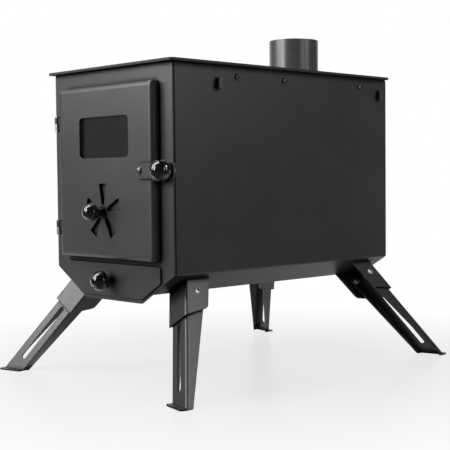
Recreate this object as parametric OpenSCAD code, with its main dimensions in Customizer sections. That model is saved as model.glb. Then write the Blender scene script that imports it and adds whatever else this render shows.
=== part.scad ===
// Tent wood stove: a folded sheet-steel firebox on four folding legs.
// X is right as seen from the door, the door faces -Y, Z is up.
// The origin is on the floor, under the middle of the feet. Millimetres and degrees.

/* [Body] */
// Width over the two side walls
body_w = 230; // [200:5:280]
// Length from the front panel's face to the rear panel's face
body_l = 398; // [396:1:460]
// Height of the upright part of the side walls
side_h = 247.5; // [244:0.5:280]
// Height of the side wall's lower bend above the floor
stand_h = 138.5; // [128:0.5:140]
// Length of the sloping strip between side wall and bottom
chamfer_l = 47.7; // [47.6:0.1:52]
// Slope of that strip
chamfer_a = 31.5; // [29:0.5:34]
// Thickness of the wrapped sheet and of the rear panel
wall_t = 1.5; // [1:0.1:2]
// Thickness of the front panel
front_t = 2; // [1.5:0.1:3]
// How far the front panel hangs below the bottom sheet
skirt_drop = 11.8; // [8:0.2:13]
// Outer radius of the body's bends
bend_r = 3; // [2.5:0.1:4]

/* [Top plate] */
// Thickness of the cooking plate
plate_t = 3; // [2:0.2:5]
// Overhang past each side wall
plate_side_lap = 8; // [6.8:0.1:12]
// Overhang past the front panel
plate_front_lap = 8; // [4:0.5:9]
// Overhang past the rear panel
plate_rear_lap = 0.5; // [0.5:0.5:8]
// Corner radius of the plate
plate_r = 7; // [3:0.5:12]

/* [Flue collar] */
// Outer diameter of the collar
flue_d = 70; // [60:1:80]
// Wall of the collar
flue_wall = 1.5; // [1:0.1:2.5]
// Height of the collar above the plate
flue_h = 57.3; // [45:0.1:70]
// Distance from the collar's axis to the rear panel's face
flue_back = 64.6; // [55:0.2:80]
// Leg of the weld fillet round the collar
weld_r = 2; // [1:0.2:3]
// How deep the weld bites into the collar and the plate
weld_bite = 0.4; // [0.2:0.1:0.7]

/* [Side fittings] */
// Width of the angle rails under the plate
rail_w = 15; // [12:0.5:18]
// Height of those rails
rail_h = 22; // [20:0.5:26]
// Thickness of the rails and of the inner ledges
angle_t = 1.5; // [1:0.1:2]
// Depth of the bolts below the top of the side wall
bolt_down = 13.7; // [12:0.1:15]
// Distance of the first side bolt from the front face
bolt_1 = 104.6; // [96:0.2:112]
// Distance of the second side bolt from the front face
bolt_2 = 188.8; // [176:0.2:196]
// Distance of the third side bolt from the rear face
bolt_3 = 57.9; // [48:0.1:70]
// Width of a side hook along the body
hook_w = 7; // [5:0.5:12]
// Height of a side hook
hook_h = 12; // [11:0.5:16]
// Thickness of the hook's strip
hook_t = 1.5; // [1:0.1:1.8]
// Free depth behind the hook
hook_gap = 4.8; // [4.5:0.1:5]
// Depth of the hooks below the top of the side wall
hook_down = 22.3; // [20:0.1:28]
// Distance of the front hooks from the front face
hook_front = 72.2; // [65:0.1:88]
// Distance of the rear hooks from the rear face
hook_rear = 17.5; // [7:0.1:30]

/* [Fasteners] */
// Shank diameter of the bolts
bolt_d = 5; // [4:0.2:6]
// Diameter of the button heads
head_d = 9.5; // [8.5:0.1:11]
// Height of the button heads
head_h = 2.75; // [2:0.05:3.5]
// Width of the nuts across their flats
nut_af = 8; // [7.2:0.2:9]
// Height of the nuts
nut_h = 4; // [3:0.2:4.6]
// Radial clearance of a turning or threaded shank in its hole
bolt_clear = 0.05; // [0.02:0.01:0.09]
// Length of thread past each nut
thread_out = 1; // [0.5:0.1:1.5]

/* [Firebox inside] */
// Width of the grate and baffle ledges
ledge_w = 12; // [9:0.5:14]
// Drop of the ledges' welded leg
ledge_h = 8; // [6:0.5:9]
// Height of the grate's underside above the side wall's bend
grate_up = 11; // [10:0.5:14]
// Thickness of the grate
grate_t = 3; // [2:0.2:5]
// Gap all round the grate
grate_gap = 4; // [2:0.5:6]
// Number of air slots in the grate
grate_slots = 13; // [5:1:15]
// Width of a grate slot
grate_slot_w = 8; // [5:0.5:12]
// Bare rim beside the grate's slots
grate_rim = 28; // [20:1:40]
// Depth of the baffle's top below the body's top
baffle_down = 39; // [34:1:46]
// Thickness of the baffle
baffle_t = 3; // [2:0.2:4]
// Length of the baffle from the rear panel forwards
baffle_l = 264; // [200:2:290]

/* [Door] */
// Distance of the door's sides from the body's sides
door_side = 23; // [21.5:0.5:27]
// Distance from the body's top to the door's top edge
door_drop = 20.8; // [18:0.2:24]
// Distance from the side wall's lower bend up to the door's lower edge
door_rise = 15.7; // [14.5:0.1:22]
// How far the door's face stands out from the front panel
door_proud = 12; // [11.5:0.1:15]
// Thickness of the door's sheet
door_t = 2; // [1.5:0.1:2.5]
// Outer radius of the door's bends
door_bend = 3; // [2.6:0.1:4]
// Gap between the door's flange and the front panel
door_gap = 0.5; // [0.3:0.1:1.5]
// How far the door laps over the edge of the fire opening
door_lap = 14; // [12:0.5:17]
// Width of the rope seal
seal_w = 7; // [5:0.5:8]
// Gap round the rope seal
seal_gap = 1.5; // [0.5:0.1:2]
// Gap between the rope seal and the front panel
seal_clear = 0.3; // [0.3:0.05:0.8]

/* [Window] */
// Distance of the window opening's sides from the door's sides
win_side = 43.5; // [40:0.5:49]
// Height of the window opening
win_h = 50.2; // [42:0.2:56]
// Corner radius of the window opening
win_r = 6; // [3:0.5:9]
// Height of the window's centre above the door's centre, as a share of the door's height
win_up = 0.201; // [0.18:0.001:0.207]
// Lap of the glass behind the door's face
glass_lap = 5; // [4:0.5:7]
// Thickness of the glass
glass_t = 3; // [2.5:0.1:3.6]
// Corner radius of the glass
glass_r = 2; // [1:0.2:4]
// Thickness of the flat seal in front of the glass
glass_seal_t = 1; // [0.5:0.1:1.4]
// Thickness of the retaining frame
glass_frame_t = 1; // [0.8:0.1:1.5]
// Width of the retaining frame beyond the glass
glass_frame_lap = 6.5; // [6:0.5:9]
// Corner radius of the retaining frame
glass_frame_r = 3; // [1:0.2:5]
// How far seal and frame stay back from the opening's edge
win_back = 0.5; // [0.3:0.1:1]
// Shank diameter of the frame's screws
screw_d = 3; // [2:0.2:3.2]
// Diameter of the screws' heads
screw_head_d = 5.6; // [5:0.1:6]
// Height of the screws' heads
screw_head_h = 1.5; // [1:0.1:2]
// Height of the screws above and below the window's centre
screw_up = 20; // [14:1:25]

/* [Air control] */
// Depth of the air control's axis below the door's centre, as a share of the door's height
air_down = 0.2294; // [0.21:0.0002:0.236]
// Distance of the air control's axis to the left of the door's middle
air_left = 2.5; // [0:0.1:4]
// Number of air slots
air_slots = 5; // [3:1:5]
// Inner radius of an air slot
air_in = 8.5; // [7.4:0.1:10]
// Outer radius of an air slot
air_out = 34.5; // [30:0.5:36]
// Width of a slot at its inner end
air_w_in = 5; // [3.6:0.2:6]
// Width of a slot at its outer end
air_w_out = 15; // [12:0.5:17]
// Corner radius of a slot
air_r = 1.6; // [1:0.1:1.7]
// Rim of the disc outside its slots
disc_rim = 4; // [3:0.5:5]
// Thickness of the disc
disc_t = 1.5; // [1:0.1:2]
// Gap between the disc and the door, filled by a washer
disc_gap = 2.2; // [0.6:0.1:2.4]
// Turn of the disc's slots from the door's slots at rest, anticlockwise from the front
disc_turn = 36; // [0:1:36]
// Outer diameter of the washer between the disc and the door
washer_d = 13; // [10:0.5:14]
// Gap of the turning pieces to the door's sheet
turn_gap = 0.3; // [0.3:0.05:0.5]
// Diameter of the disc's stem
stem_d = 6; // [5:0.2:6.6]
// Diameter of the hub on the stem
hub_d = 13; // [10:0.5:13.5]
// Thickness of the hub
hub_t = 2; // [1:0.2:4]
// Diameter of the neck between hub and ball
neck_d = 10; // [8:0.5:12]
// Width of the stem's nut across its flats
stem_nut_af = 10; // [8.5:0.5:11]
// Diameter of the air control's ball
air_ball_d = 22; // [18:0.5:26]
// Distance from the door's face to the ball's centre
air_ball_out = 18.3; // [15:0.1:22]

/* [Latch] */
// Height of the bar's centre above the door's centre
latch_up = 0.6; // [-6:0.2:4]
// Distance of the latch pivot from the door's right edge
latch_in = 19.4; // [17.5:0.2:21]
// Width of the bar
latch_w = 18; // [14:0.5:20]
// Thickness of the bar
latch_t = 3; // [2:0.2:4]
// Distance from the pivot to the bar's free end
latch_l = 60.6; // [55:0.2:70]
// Corner radius of the bar's free end
latch_r = 3; // [1:0.2:6]
// Gap between the bar and the door
latch_gap = 0.5; // [0.3:0.1:1]
// Gap between the bar and the pivot bolt's head
latch_play = 0.3; // [0.3:0.05:0.6]
// Distance of the ball from the bar's free end
ball_in = 6.4; // [5.5:0.2:12]
// Diameter of the large ball knobs
ball_d = 25; // [22:0.5:30]
// Distance from the bar's face to the ball's centre
ball_out = 14; // [13:0.2:17]
// Diameter of the studs that hold the knobs
stud_d = 6; // [5:0.2:7]
// Depth of the studs in the knobs
stud_in = 9; // [6:0.5:10]
// Rim of a stud's head, and of a knob's neck, round the stud
stud_rim = 2; // [1.5:0.1:2.5]
// Thickness of a stud's head
stud_head_h = 2; // [1.5:0.1:2.5]
// Width of the keeper across the bar
keeper_w = 10; // [7:0.5:12]
// Distance of the keeper from the door's edge
keeper_off = 5; // [3:0.5:7]
// Height of the keeper's foot
keeper_foot = 14; // [10:0.5:18]
// Thickness of the keeper
keeper_t = 2; // [1.5:0.1:3]
// Gap between the bar and the keeper's ledge
keeper_gap = 0.3; // [0.3:0.05:0.8]

/* [Door hinges] */
// Distance of the pin from the door's left edge
pin_off = 6; // [5.5:0.1:7]
// Distance of the pin behind the door's face
pin_back = 2; // [1.5:0.1:3]
// Depth of the upper hinge below the door's top
hinge_top = 43.1; // [30:0.1:60]
// Height of the lower hinge above the door's bottom
hinge_low = 35.7; // [25:0.1:45]
// Outer diameter of the knuckles
knuckle_d = 7; // [6.4:0.2:8]
// Height of a whole hinge
hinge_h = 16; // [12:0.5:24]
// Gap between the two knuckles
knuckle_gap = 0.3; // [0.3:0.05:0.8]
// Diameter of the hinge pins
pin_d = 4; // [3:0.2:4.4]
// Radial clearance of the hinge pins
pin_clear = 0.05; // [0.02:0.01:0.09]
// Height of the pins' heads
pin_head_h = 1.5; // [1:0.1:2]
// Inset of the pins' heads from the knuckles' outside
pin_head_in = 0.4; // [0.2:0.1:0.8]
// Gap between the upper knuckle and the pin's upper head
pin_gap = 0.3; // [0.3:0.05:0.6]
// Thickness of the hinge leaves
leaf_t = 2; // [1.5:0.1:2.5]
// Width of the leaf on the front panel
leaf_w = 14; // [10:0.5:15]

/* [Ash drawer] */
// Distance of the ash tray's sides from the bends of the bottom
tray_side = 4.3; // [4:0.1:12]
// Height of the ash tray
tray_h = 26; // [20:0.5:27]
// Length of the ash tray
tray_l = 330; // [280:5:335]
// Thickness of the tray's sheet
tray_t = 1.5; // [1:0.1:2]
// Gap under the tray
tray_lift = 0.3; // [0.3:0.05:0.6]
// Gap between the tray and its opening and guides
tray_gap = 1.5; // [0.5:0.1:1.8]
// Thickness of the drawer's front plate
face_t = 2; // [1.5:0.1:2.6]
// Distance of the front plate's sides from the body's sides
face_in = 22.5; // [20:0.5:27]
// Height of the plate's top edge above the side wall's bend
face_up = 8.8; // [7:0.2:12]
// Lap of the plate below the bottom sheet
face_low = 6.3; // [5:0.1:8]
// Depth of the plate's corners below the side wall's bend
face_corner = 10; // [6:0.5:12]
// Gap between the front plate and the front panel
face_gap = 0.3; // [0.3:0.05:0.6]
// Inset of the plate's slanted edges from those of the front panel
face_side = 6; // [4:0.5:9]
// Corner radius of the front plate
face_r = 3; // [1:0.2:5]
// Height of the drawer's guides
guide_h = 19; // [14:0.5:22]
// Distance from the front plate to the ball's centre
face_ball_out = 17.2; // [15:0.2:20]

/* [Legs] */
// Distance of the leg web's outer face from the body's end, at the sloping strip
leg_in = 28.5; // [26:0.5:30]
// Outward lean of the leg's web
leg_lean = 25.4; // [23:0.2:26]
// Distance of the leg from the upper bend, along the sloping strip
leg_s = 13.8; // [12:0.1:14]
// Width of the leg across its web
leg_w = 30; // [27:0.2:30.2]
// Thickness of the leg's sheet
leg_t = 2; // [1.5:0.1:2.5]
// Outer radius of the leg's bends
leg_bend = 3; // [2.6:0.1:4]
// Depth of the leg's outer flange at the pivot
leg_deep = 26.6; // [24:0.2:27]
// Depth of the leg's outer flange at the foot
leg_deep_foot = 8.3; // [7:0.1:14]
// Depth of the leg's inner flange at the pivot
inner_deep = 19.8; // [19:0.2:23]
// Depth of the leg's inner flange at the foot
inner_deep_foot = 5.8; // [5:0.1:7]
// Distance of the pivot from the sloping strip
pivot_out = 16.5; // [16:0.1:18]
// Distance of the pivot from the web's outer face
pivot_in = 13.4; // [12.4:0.1:13.6]
// Width of the long slot in the web
leg_slot_w = 7; // [4:0.5:8]
// Distance of the slot's upper end from the pivot
leg_slot_top = 44; // [30:1:50]
// Distance of the slot's lower end from the floor
leg_slot_low = 23.5; // [10:0.5:25]
// Length of the foot's lip
lip_l = 7.5; // [5:0.5:8]
// Corner radius of the foot's lip
lip_r = 3; // [1:0.2:4]
// How far the lip's ends stay inside the web's two edges
lip_side = 0.3; // [0.1:0.1:0.6]

/* [Leg brackets] */
// Thickness of the bracket's sheet
bracket_t = 2; // [1.5:0.1:2.5]
// Outer radius of the bracket's bends
bracket_bend = 3; // [2.6:0.1:4]
// Gap between the leg's web and the bracket's web
web_gap = 0.6; // [0.5:0.1:1]
// Gap beside the leg on the outer side
side_gap_out = 1.5; // [0.5:0.1:1.8]
// Gap beside the leg on the inner side
side_gap_in = 1.7; // [0.5:0.1:1.8]
// Depth of the bracket below the sloping strip
bracket_h = 44.4; // [40:0.2:47]
// Width of the bracket's flanges along the body
bracket_y = 37.2; // [34:0.2:40]
// Rise of the bracket's lower edge towards its free side
bracket_rise = 5; // [0:0.5:10]
// Corner radius of the bracket's free lower corners
bracket_r = 8; // [3:0.5:10]
// Gap between the pivot nuts and the leg's flanges
nut_gap = 0.3; // [0.3:0.05:0.8]

/* [Hidden] */
$fn = 64;
eps = 1;

// Body levels and edges
half_w = body_w / 2;
front_y = -body_l / 2;
rear_y = body_l / 2;
shell_front = front_y + front_t;
shell_rear = rear_y - wall_t;
bend_z = stand_h;
top_z = bend_z + side_h;
low_x = half_w - chamfer_l * cos(chamfer_a);
low_z = bend_z - chamfer_l * sin(chamfer_a);
floor_z = low_z + wall_t;
skirt_l = chamfer_l + skirt_drop / sin(chamfer_a);
skirt_x = half_w - skirt_l * cos(chamfer_a);
skirt_z = low_z - skirt_drop;
wall_in = half_w - wall_t;
leg_y = rear_y - leg_in;
flue_y = rear_y - flue_back;
flue_r = flue_d / 2;
flue_foot_r = flue_r - weld_bite;
plate_top = top_z + plate_t;

// Door levels
door_w = body_w - 2 * door_side;
door_top = top_z - door_drop;
door_low = bend_z + door_rise;
door_h = door_top - door_low;
door_z = (door_top + door_low) / 2;
door_face = front_y - door_proud;
door_back = door_face + door_t;
door_edge = door_w / 2;
fire_x = door_edge - door_lap;
fire_low = door_low + door_lap;
fire_top = door_top - door_lap;
win_w = door_w - 2 * win_side;
win_z = door_z + win_up * door_h;
air_x = -air_left;
air_z = door_z - air_down * door_h;
latch_z = door_z + latch_up;
latch_x = door_edge - latch_in;
latch_back = door_face - latch_gap;
latch_face = latch_back - latch_t;
ball_x = latch_x + latch_l - ball_in;
pin_x = -(door_edge + pin_off);
pin_y = door_face + pin_back;
hinge_zs = [door_top - hinge_top, door_low + hinge_low];

// Drawer levels
tray_w = 2 * (low_x - tray_side);
tray_z = floor_z + tray_lift;
face_w = body_w - 2 * face_in;
face_back = front_y - face_gap;
face_front = face_back - face_t;
face_top = bend_z + face_up;
face_bottom = low_z - face_low;
face_x_low = skirt_x + (face_bottom - skirt_z) / tan(chamfer_a) - face_side;
drawer_z = (face_top + face_bottom) / 2;

// Inner plates
grate_z = bend_z + grate_up;
baffle_z = top_z - baffle_down - baffle_t;

// Leg geometry, in a frame laid on the sloping strip and then along the leg's web
bolt_r = bolt_d / 2;
hole_r = bolt_r + bolt_clear;
stud_head_r = stud_d / 2 + stud_rim;
stud_hole_r = stud_d / 2 + bolt_clear;
stem_hole_r = stem_d / 2 + bolt_clear;
leg_s2 = leg_s + leg_w;
pivot_z = -(pivot_out - pivot_in * sin(leg_lean)) / cos(leg_lean);
bracket_s = leg_s - side_gap_out - bracket_t;
bracket_s2 = leg_s2 + side_gap_in + bracket_t;
bracket_web = -(web_gap + bracket_t);

function floor_h(s) = (bend_z - s * sin(chamfer_a)) / cos(chamfer_a);
function foot_x(s) = half_w - s * cos(chamfer_a) + floor_h(s) * sin(chamfer_a);
function foot_y(s) = leg_y + floor_h(s) * tan(leg_lean);
foot_z = -floor_h(leg_s) / cos(leg_lean);
taper = (leg_deep - leg_deep_foot) / (pivot_z - foot_z);
taper_in = (inner_deep - inner_deep_foot) / (pivot_z - foot_z);

body_outline = [[half_w, top_z], [-half_w, top_z], [-half_w, bend_z], [-low_x, low_z],
                [low_x, low_z], [half_w, bend_z]];
front_outline = [[half_w, top_z], [-half_w, top_z], [-half_w, bend_z], [-skirt_x, skirt_z],
                 [skirt_x, skirt_z], [half_w, bend_z]];
face_outline = [[face_w / 2, face_top], [-face_w / 2, face_top],
                [-face_w / 2, bend_z - face_corner], [-face_x_low, face_bottom],
                [face_x_low, face_bottom], [face_w / 2, bend_z - face_corner]];

// --- Shapes used by several pieces ---

function unit(v) = v / norm(v);
function left_of(v) = [-v[1], v[0]];
// Corner i of an anticlockwise outline, moved in by r from both its edges
function inset(p, i, r) =
    let (n = len(p), a = unit(p[i] - p[(i + n - 1) % n]), b = unit(p[(i + 1) % n] - p[i]),
         na = left_of(a), nb = left_of(b))
    p[i] + (na + nb) * r / (1 + na * nb);
function inset_all(p, r) = [for (i = [0:len(p) - 1]) inset(p, i, r)];

// Points of a round corner, for small outlines that are turned about a centre
function corner_arc(p, i, r, steps) =
    let (n = len(p), a = unit(p[i] - p[(i + n - 1) % n]), b = unit(p[(i + 1) % n] - p[i]),
         out = -left_of(a), start = atan2(out[1], out[0]), turn = acos(a * b))
    [for (k = [0:steps]) let (t = start + turn * k / steps) inset(p, i, r) + r * [cos(t), sin(t)]];
function rounded_points(p, r, steps) =
    [for (i = [0:len(p) - 1]) each corner_arc(p, i, r, steps)];

// A convex anticlockwise outline with every corner rounded
module rounded(p, r) {
    q = inset_all(p, r);
    n = len(q);
    polygon(q);
    for (i = [0:n - 1]) {
        out = -left_of(unit(q[(i + 1) % n] - q[i])) * r;
        polygon([q[i], q[i] + out, q[(i + 1) % n] + out, q[(i + 1) % n]]);
        translate(q[i]) circle(r);
    }
}

function box_points(x0, y0, x1, y1) = [[x0, y0], [x1, y0], [x1, y1], [x0, y1]];

module along_y(y0, y1) {
    translate([0, y1, 0]) rotate([90, 0, 0]) linear_extrude(y1 - y0) children();
}

module along_x(x0, x1) {
    translate([x0, 0, 0]) rotate([90, 0, 90]) linear_extrude(x1 - x0) children();
}

module both_sides() {
    children();
    mirror([1, 0, 0]) children();
}

// A rod along Y between two places
module rod_y(x, z, r, y0, y1) {
    translate([x, y1, z]) rotate([90, 0, 0]) cylinder(r = r, h = y1 - y0);
}

// A domed head whose flat side is at z = 0
module button_head() {
    dome_r = (pow(head_d / 2, 2) + pow(head_h, 2)) / (2 * head_h);
    intersection() {
        translate([0, 0, head_h - dome_r]) sphere(dome_r);
        cylinder(r = head_d, h = head_h);
    }
}

// Head at z = 0 and up, shank down to z = -l
module bolt(l) {
    difference() {
        button_head();
        translate([0, 0, head_h / 2]) cylinder(r = bolt_r * 0.66, h = head_h, $fn = 6);
    }
    translate([0, 0, -l]) cylinder(r = bolt_r, h = l);
}

module nut(h = nut_h) {
    difference() {
        cylinder(r = nut_af / 2 / cos(30), h = h, $fn = 6);
        translate([0, 0, -eps]) cylinder(r = hole_r, h = h + 2 * eps);
    }
}

// A ball on a short neck, its axis along -Y, drilled from behind for a stud
module ball_knob(d, stud_r, neck_r, back) {
    rotate([90, 0, 0]) difference() {
        union() {
            sphere(d / 2, $fn = 96);
            translate([0, 0, -back]) cylinder(r = neck_r, h = back);
        }
        translate([0, 0, -back - eps])
            cylinder(r = stud_r + bolt_clear, h = back + 2 * eps - d / 2 + stud_in);
    }
}

// --- Body ---

module body_section(r, tall) {
    rounded([[half_w - (bend_r - r), top_z + tall], [-half_w + (bend_r - r), top_z + tall],
             [-half_w + (bend_r - r), bend_z + (bend_r - r) * tan(chamfer_a / 2)],
             [-low_x + (bend_r - r) * tan(chamfer_a / 2), low_z + (bend_r - r)],
             [low_x - (bend_r - r) * tan(chamfer_a / 2), low_z + (bend_r - r)],
             [half_w - (bend_r - r), bend_z + (bend_r - r) * tan(chamfer_a / 2)]], r);
}

// Places the children at each side bolt, with their Z axis pointing out of the wall
module at_side_bolts() {
    both_sides()
        for (y = [front_y + bolt_1, front_y + bolt_2, rear_y - bolt_3])
            translate([half_w, y, top_z - bolt_down]) rotate([0, 90, 0]) children();
}

module body_shell() {
    color("dimgray") difference() {
        along_y(shell_front, shell_rear) intersection() {
            difference() {
                body_section(bend_r, 4 * bend_r);
                body_section(bend_r - wall_t, 6 * bend_r);
            }
            translate([-half_w - eps, 0]) square([body_w + 2 * eps, top_z]);
        }
        at_side_bolts() translate([0, 0, -2 * wall_t]) cylinder(r = hole_r, h = 4 * wall_t);
    }
}

module front_panel() {
    color("dimgray") along_y(front_y, shell_front) difference() {
        rounded(front_outline, bend_r);
        rounded(box_points(-fire_x, fire_low, fire_x, fire_top), win_r);
        polygon(box_points(-tray_w / 2 - tray_gap, floor_z,
                           tray_w / 2 + tray_gap, tray_z + tray_h + tray_gap));
    }
}

module rear_panel() {
    color("dimgray") along_y(shell_rear, rear_y) rounded(body_outline, bend_r);
}

module top_plate() {
    color("dimgray") difference() {
        translate([0, 0, top_z]) linear_extrude(plate_t) difference() {
            rounded(box_points(-half_w - plate_side_lap, front_y - plate_front_lap,
                               half_w + plate_side_lap, rear_y + plate_rear_lap), plate_r);
            translate([0, flue_y]) circle(flue_foot_r + bolt_clear);
        }
        translate([0, flue_y, plate_top - weld_bite])
            cylinder(r = flue_r + weld_r, h = weld_bite + eps, $fn = 96);
    }
}

module flue_collar() {
    h = plate_t + flue_h;
    foot_h = plate_t + weld_r;
    color("slategray") translate([0, flue_y, top_z]) difference() {
        union() {
            cylinder(r = flue_foot_r, h = foot_h + eps, $fn = 96);
            translate([0, 0, foot_h]) cylinder(r = flue_r, h = h - foot_h, $fn = 96);
        }
        translate([0, 0, -eps]) cylinder(r = flue_r - flue_wall, h = h + 2 * eps, $fn = 96);
    }
}

// A hollow fillet, let into the collar's foot and the plate's face
module collar_weld() {
    color("gray") translate([0, flue_y, plate_top]) rotate_extrude($fn = 96) difference() {
        translate([flue_foot_r, -weld_bite]) square(weld_bite + weld_r);
        translate([flue_r + weld_r, weld_r]) circle(weld_r, $fn = 32);
    }
}

// --- Fittings on the side walls ---

module top_rails() {
    color("dimgray") difference() {
        both_sides() along_y(shell_front, shell_rear) {
            translate([wall_in - angle_t, top_z - rail_h]) square([angle_t, rail_h]);
            translate([wall_in - rail_w, top_z - angle_t]) square([rail_w, angle_t]);
        }
        at_side_bolts() translate([0, 0, -wall_t - 2 * angle_t])
            cylinder(r = hole_r, h = wall_t + 3 * angle_t);
    }
}

module side_bolts() {
    color("darkslategray") at_side_bolts() bolt(wall_t + angle_t + nut_h + thread_out);
}

module side_nuts() {
    color("darkslategray") at_side_bolts() translate([0, 0, -wall_t - angle_t - nut_h]) nut();
}

module side_hook(y) {
    z = top_z - hook_down;
    along_y(y - hook_w / 2, y + hook_w / 2) difference() {
        translate([half_w, z - hook_h / 2]) square([hook_gap + hook_t, hook_h]);
        translate([half_w - eps, z - hook_h / 2 + hook_t])
            square([hook_gap + eps, hook_h - 2 * hook_t]);
    }
}

module side_hooks() {
    color("dimgray") both_sides() {
        side_hook(front_y + hook_front);
        side_hook(rear_y - hook_rear);
    }
}

// --- Inside the firebox ---

// Two angles welded to the side walls, their shelf's top at height z
module ledges(z, y0, y1) {
    both_sides() along_y(y0, y1) {
        translate([wall_in - angle_t, z - ledge_h]) square([angle_t, ledge_h]);
        translate([wall_in - ledge_w, z - angle_t]) square([ledge_w, angle_t]);
    }
}

module grate_ledges() {
    color("gray") ledges(grate_z, shell_front, shell_rear);
}

module baffle_ledges() {
    color("gray") ledges(baffle_z, shell_rear - baffle_l, shell_rear);
}

module fire_grate() {
    x = wall_in - grate_gap;
    y = shell_front + grate_gap;
    y_end = shell_rear - grate_gap;
    pitch = (y_end - y) / (grate_slots + 1);
    slot_x = x - grate_rim;
    color("darkslategray") translate([0, 0, grate_z]) linear_extrude(grate_t) difference() {
        polygon(box_points(-x, y, x, y_end));
        for (i = [1:grate_slots])
            translate([0, y + i * pitch]) {
                square([2 * slot_x, grate_slot_w], center = true);
                for (e = [-1, 1]) translate([e * slot_x, 0]) circle(grate_slot_w / 2, $fn = 24);
            }
    }
}

module baffle_plate() {
    x = wall_in - grate_gap;
    color("gray") translate([-x, shell_rear - baffle_l, baffle_z])
        cube([2 * x, baffle_l, baffle_t]);
}

module drawer_guides() {
    x = tray_w / 2 + tray_gap;
    color("gray") both_sides() along_y(shell_front, shell_front + tray_l) {
        translate([x, floor_z]) square([angle_t, guide_h]);
        translate([x, floor_z + guide_h - angle_t]) square([ledge_w, angle_t]);
    }
}

// --- Door ---

// A block with its front edges and corners rounded: face at y0, open back at y1
module pan_block(x, z0, z1, y0, y1, r) {
    intersection() {
        translate([0, 0, z0]) linear_extrude(z1 - z0)
            rounded(box_points(-x, y0, x, y1 + 4 * r), r);
        along_x(-x, x) rounded(box_points(y0, z0, y1 + 4 * r, z1), r);
        along_y(y0, y1) rounded(box_points(-x, z0, x, z1), r);
    }
}

// One air slot: a wedge with rounded corners, centred on angle 90
module air_slot() {
    polygon(rounded_points([[air_w_in / 2, air_in], [air_w_out / 2, air_out],
                            [-air_w_out / 2, air_out], [-air_w_in / 2, air_in]], air_r, 6));
}

module air_slots(turn) {
    translate([air_x, air_z])
        for (i = [0:air_slots - 1]) rotate(turn + i * 360 / air_slots) air_slot();
}

module door_pan() {
    color("dimgray") difference() {
        pan_block(door_edge, door_low, door_top, door_face, front_y - door_gap, door_bend);
        pan_block(door_edge - door_t, door_low + door_t, door_top - door_t,
                  door_back, front_y + 1, door_bend - door_t);
        along_y(door_face - eps, door_back + eps) {
            rounded(box_points(-win_w / 2, win_z - win_h / 2, win_w / 2, win_z + win_h / 2), win_r);
            air_slots(0);
        }
        rod_y(air_x, air_z, stem_hole_r, door_face - eps, door_back + eps);
        rod_y(latch_x, latch_z, hole_r, door_face - eps, door_back + eps);
    }
}

module door_seal() {
    x = door_edge - door_t - seal_gap;
    z0 = door_low + door_t + seal_gap;
    z1 = door_top - door_t - seal_gap;
    color("darkgray") along_y(door_back, front_y - seal_clear) difference() {
        rounded(box_points(-x, z0, x, z1), seal_w);
        rounded(box_points(-x + seal_w, z0 + seal_w, x - seal_w, z1 - seal_w), seal_w / 2);
    }
}

// A window-shaped outline, larger than the opening by a lap
module window_outline(lap, r) {
    rounded(box_points(-win_w / 2 - lap, win_z - win_h / 2 - lap,
                       win_w / 2 + lap, win_z + win_h / 2 + lap), r);
}

glass_front = door_back + glass_seal_t;
glass_back = glass_front + glass_t;
frame_back = glass_back + glass_frame_t;
screw_x = win_w / 2 + glass_lap + glass_frame_lap / 2;

module window_seal() {
    color("darkgray") along_y(door_back, glass_front) difference() {
        window_outline(glass_lap, glass_r);
        window_outline(win_back, win_r);
    }
}

module window_glass() {
    color("lightblue", 0.4) along_y(glass_front, glass_back) window_outline(glass_lap, glass_r);
}

module at_screws() {
    for (x = [-screw_x, screw_x], z = [win_z - screw_up, win_z + screw_up])
        translate([x, door_back, z]) rotate([-90, 0, 0]) children();
}

module window_frame() {
    color("gray") difference() {
        along_y(glass_back, frame_back) difference() {
            window_outline(glass_lap + glass_frame_lap, glass_frame_r);
            window_outline(win_back, win_r);
        }
        at_screws() cylinder(r = screw_d / 2 + bolt_clear, h = 4 * (frame_back - door_back), $fn = 32);
    }
}

module window_screws() {
    l = frame_back - door_back;
    color("silver") at_screws() {
        cylinder(r = screw_d / 2, h = l, $fn = 32);
        translate([0, 0, l]) cylinder(d = screw_head_d, h = screw_head_h, $fn = 32);
    }
}

// --- Door hinges ---

knuckle_h = (hinge_h - knuckle_gap) / 2;

module at_hinges() {
    for (z = hinge_zs) translate([pin_x, pin_y, z]) children();
}

module knuckle_bore() {
    translate([0, 0, -hinge_h]) cylinder(r = pin_d / 2 + pin_clear, h = 2 * hinge_h, $fn = 32);
}

module door_hinge_leaves() {
    color("silver") at_hinges() difference() {
        union() {
            translate([0, 0, hinge_h / 2 - knuckle_h]) {
                cylinder(r = knuckle_d / 2, h = knuckle_h, $fn = 48);
                translate([0, -leaf_t / 2, 0]) cube([pin_off, leaf_t, knuckle_h]);
            }
            translate([pin_off - leaf_t / 2, -leaf_t / 2, -hinge_h / 2])
                cube([leaf_t / 2, door_proud / 2, hinge_h]);
        }
        knuckle_bore();
    }
}

module body_hinge_leaves() {
    reach = front_y - pin_y;
    color("silver") at_hinges() difference() {
        union() {
            translate([0, 0, -hinge_h / 2]) {
                cylinder(r = knuckle_d / 2, h = knuckle_h, $fn = 48);
                translate([-knuckle_d / 2, 0, 0]) cube([leaf_t, reach, knuckle_h]);
            }
            translate([-leaf_w - knuckle_d / 2 + leaf_t, reach - leaf_t, -hinge_h / 2])
                cube([leaf_w, leaf_t, hinge_h]);
        }
        knuckle_bore();
    }
}

module hinge_pins() {
    head_r = knuckle_d / 2 - pin_head_in;
    color("silver") at_hinges() {
        translate([0, 0, -hinge_h / 2]) cylinder(r = pin_d / 2, h = hinge_h + pin_gap, $fn = 32);
        translate([0, 0, hinge_h / 2 + pin_gap]) cylinder(r = head_r, h = pin_head_h, $fn = 32);
        translate([0, 0, -hinge_h / 2 - pin_head_h]) cylinder(r = head_r, h = pin_head_h, $fn = 32);
    }
}

// --- Air control ---

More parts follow.
